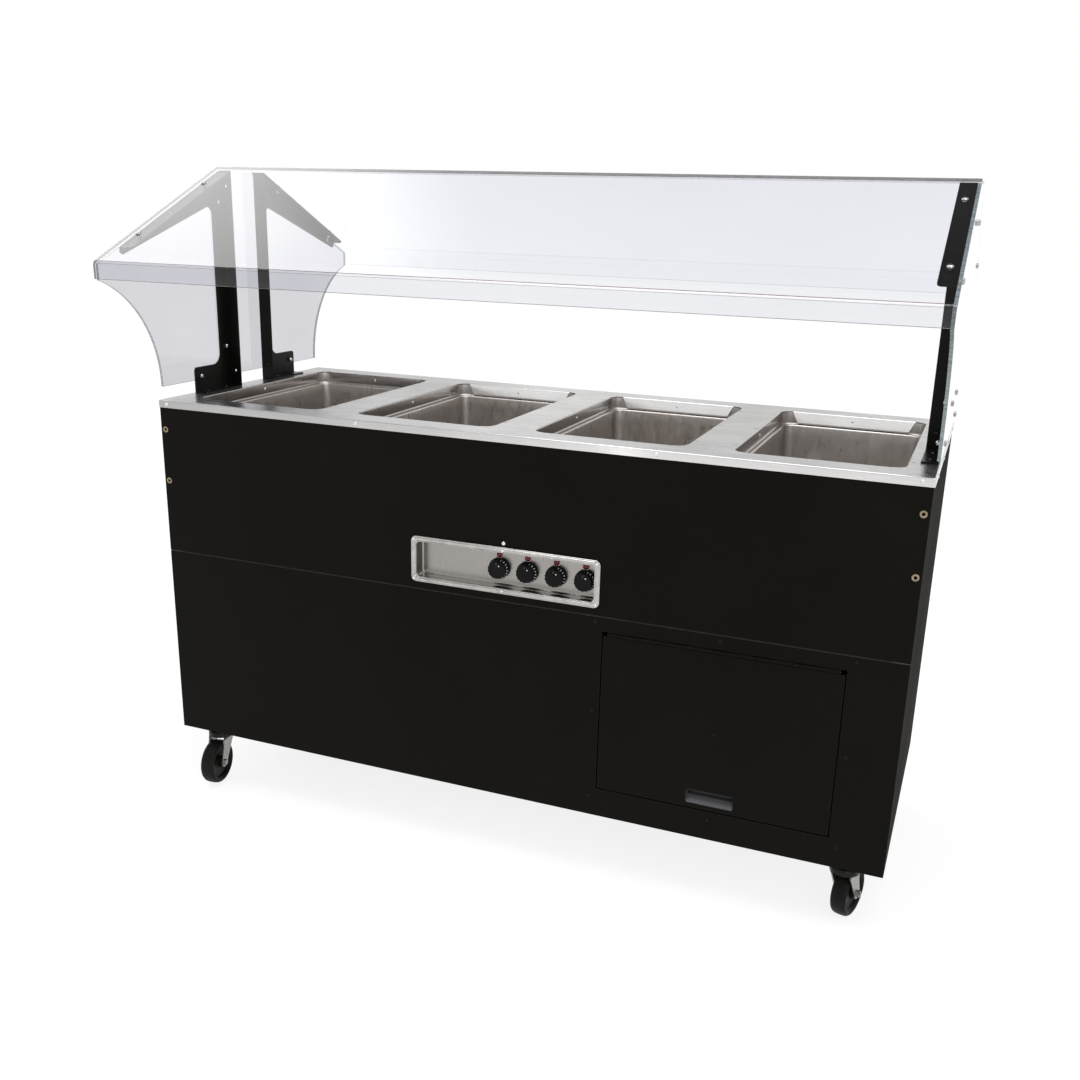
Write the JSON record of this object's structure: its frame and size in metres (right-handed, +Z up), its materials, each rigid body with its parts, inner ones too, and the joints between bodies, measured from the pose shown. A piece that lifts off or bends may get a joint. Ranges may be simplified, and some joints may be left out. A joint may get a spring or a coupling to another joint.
{
  "type": "steam table",
  "caption": "Enclosed mobile hot food table with heated wells, a storage door, rotary heat controls, swivel casters and a double-sided clear food guard.",
  "frame": {"origin": "on the floor under the middle of the counter", "axes": "+X along the counter, +Z up, the control side faces -Y"},
  "size_m": [1.597, 0.928, 1.372],
  "materials": {
    "stainless": "brushed stainless steel",
    "well_steel": "dull drawn stainless steel",
    "element_sheath": "heat-darkened metal sheath",
    "insulation": "mineral fibre board",
    "zinc": "zinc plated steel",
    "black_paint": "black satin powder coat",
    "clear_acrylic": "clear acrylic sheet",
    "knob_black": "gloss black plastic",
    "switch_grey": "moulded switch body",
    "lamp_white": "moulded white plastic",
    "lens_red": "red translucent lens",
    "gland_black": "moulded nylon",
    "insert_brass": "yellow passivated insert",
    "tyre": "black rubber"
  },
  "bodies": {
    "cabinet": {"countertop": "stainless", "well_pan_1": "well_steel", "well_pan_2": "well_steel", "well_pan_3": "well_steel", "well_pan_4": "well_steel", "heating_elements": "element_sheath", "element_clamps": "zinc", "well_jackets": "insulation", "well_screws": "zinc", "front_upper_panel": "black_paint", "front_lower_panel": "black_paint", "left_panel": "black_paint", "right_panel": "black_paint", "rear_panel": "black_paint", "base_panel": "black_paint", "caster_channels": "zinc", "corner_posts": "zinc", "top_rails": "zinc", "cross_rails": "zinc", "ceiling_panel": "zinc", "ceiling_rail": "zinc", "control_dish": "stainless", "control_bezel": "stainless", "control_housing": "zinc", "switch_bodies": "switch_grey", "pilot_lamps": "lamp_white", "lamp_lenses": "lens_red", "terminal_block": "lamp_white", "cord_gland": "gland_black", "door_frame": "black_paint", "hinge_fixed_leaf": "black_paint", "hinge_pin": "zinc", "front_glass": "clear_acrylic", "rear_glass": "clear_acrylic", "left_end_glass": "clear_acrylic", "right_end_glass": "clear_acrylic", "left_brackets": "black_paint", "right_brackets": "black_paint", "guard_bolts": "zinc", "bracket_screws": "zinc", "panel_screws": "zinc", "threaded_inserts": "insert_brass", "caster_plates": "zinc", "caster_bolts": "zinc"},
    "door": {"door_panel": "black_paint", "door_screw": "zinc", "door_pull_cup": "black_paint", "hinge_door_leaf": "black_paint"},
    "knob_body_1": {"knob_1": "knob_black"},
    "knob_body_2": {"knob_2": "knob_black"},
    "knob_body_3": {"knob_3": "knob_black"},
    "knob_body_4": {"knob_4": "knob_black"},
    "caster_swivel_front_left": {"caster_fork_1": "zinc"},
    "caster_wheel_front_left": {"caster_wheel_1": "tyre"},
    "caster_swivel_front_right": {"caster_fork_2": "zinc"},
    "caster_wheel_front_right": {"caster_wheel_2": "tyre"},
    "caster_swivel_rear_left": {"caster_fork_3": "zinc"},
    "caster_wheel_rear_left": {"caster_wheel_3": "tyre"},
    "caster_swivel_rear_right": {"caster_fork_4": "zinc"},
    "caster_wheel_rear_right": {"caster_wheel_4": "tyre"}
  },
  "joints": [
    {"name": "door_hinge", "type": "hinge", "parent": "cabinet", "child": "door", "pos_m": [0.454, -0.3097, 0.525], "axis": [-1, 0, 0], "range_deg": [0, 95]},
    {"name": "knob_turn_1", "type": "hinge", "parent": "cabinet", "child": "knob_body_1", "pos_m": [-0.0045, -0.2852, 0.62], "axis": [0, 1, 0], "range_deg": [0, 330]},
    {"name": "knob_turn_2", "type": "hinge", "parent": "cabinet", "child": "knob_body_2", "pos_m": [0.056, -0.2852, 0.62], "axis": [0, 1, 0], "range_deg": [0, 330]},
    {"name": "knob_turn_3", "type": "hinge", "parent": "cabinet", "child": "knob_body_3", "pos_m": [0.1165, -0.2852, 0.62], "axis": [0, 1, 0], "range_deg": [0, 330]},
    {"name": "knob_turn_4", "type": "hinge", "parent": "cabinet", "child": "knob_body_4", "pos_m": [0.177, -0.2852, 0.62], "axis": [0, 1, 0], "range_deg": [0, 330]},
    {"name": "swivel_front_left", "type": "hinge", "parent": "cabinet", "child": "caster_swivel_front_left", "pos_m": [-0.7182, -0.2682, 0.123], "axis": [0, 0, 1], "continuous": true},
    {"name": "roll_front_left", "type": "hinge", "parent": "caster_swivel_front_left", "child": "caster_wheel_front_left", "pos_m": [-0.71479, -0.29599, 0.05], "axis": [0.9925, 0.1219, 0], "continuous": true},
    {"name": "swivel_front_right", "type": "hinge", "parent": "cabinet", "child": "caster_swivel_front_right", "pos_m": [0.7182, -0.2682, 0.123], "axis": [0, 0, 1], "continuous": true},
    {"name": "roll_front_right", "type": "hinge", "parent": "caster_swivel_front_right", "child": "caster_wheel_front_right", "pos_m": [0.72592, -0.24128, 0.05], "axis": [-0.9613, 0.2756, 0], "continuous": true},
    {"name": "swivel_rear_left", "type": "hinge", "parent": "cabinet", "child": "caster_swivel_rear_left", "pos_m": [-0.7182, 0.2682, 0.123], "axis": [0, 0, 1], "continuous": true},
    {"name": "roll_rear_left", "type": "hinge", "parent": "caster_swivel_rear_left", "child": "caster_wheel_rear_left", "pos_m": [-0.72306, 0.29578, 0.05], "axis": [-0.9848, -0.1736, 0], "continuous": true},
    {"name": "swivel_rear_right", "type": "hinge", "parent": "cabinet", "child": "caster_swivel_rear_right", "pos_m": [0.7182, 0.2682, 0.123], "axis": [0, 0, 1], "continuous": true},
    {"name": "roll_rear_right", "type": "hinge", "parent": "caster_swivel_rear_right", "child": "caster_wheel_rear_right", "pos_m": [0.71918, 0.24022, 0.05], "axis": [0.9994, 0.0349, 0], "continuous": true}
  ]
}
